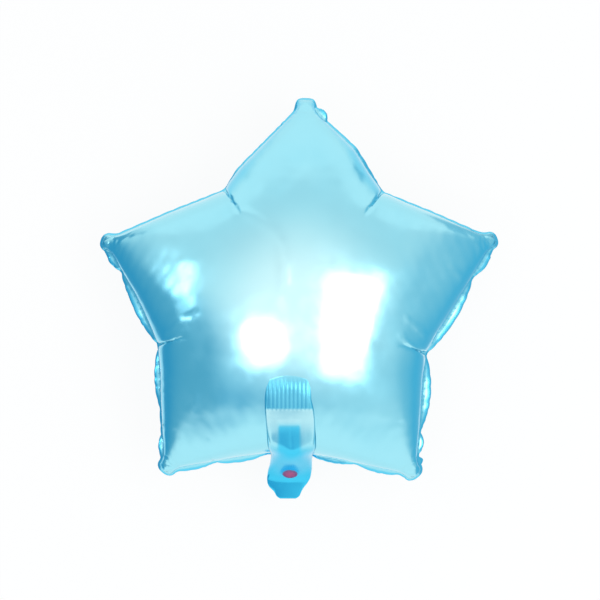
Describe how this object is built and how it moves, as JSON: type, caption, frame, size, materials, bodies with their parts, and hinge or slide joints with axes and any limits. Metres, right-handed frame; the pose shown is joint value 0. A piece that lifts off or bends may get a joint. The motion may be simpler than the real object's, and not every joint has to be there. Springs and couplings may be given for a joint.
{
  "type": "star foil balloon",
  "caption": "Inflated star-shaped foil balloon with a puckered welded seam, a ribbed valve film and a flat filling tail.",
  "frame": {"origin": "middle of the flat spot that the back film rests on, under the middle of the star", "axes": "+Z out of the front face, +Y along the top arm, -Y along the filling tail, +X to the right seen from the front"},
  "size_m": [0.3991, 0.4045, 0.1704],
  "materials": {
    "foil": "satin-mirror metallised film, tinted sky blue"
  },
  "bodies": {
    "root": {"foil_envelope": "foil"}
  },
  "joints": []
}
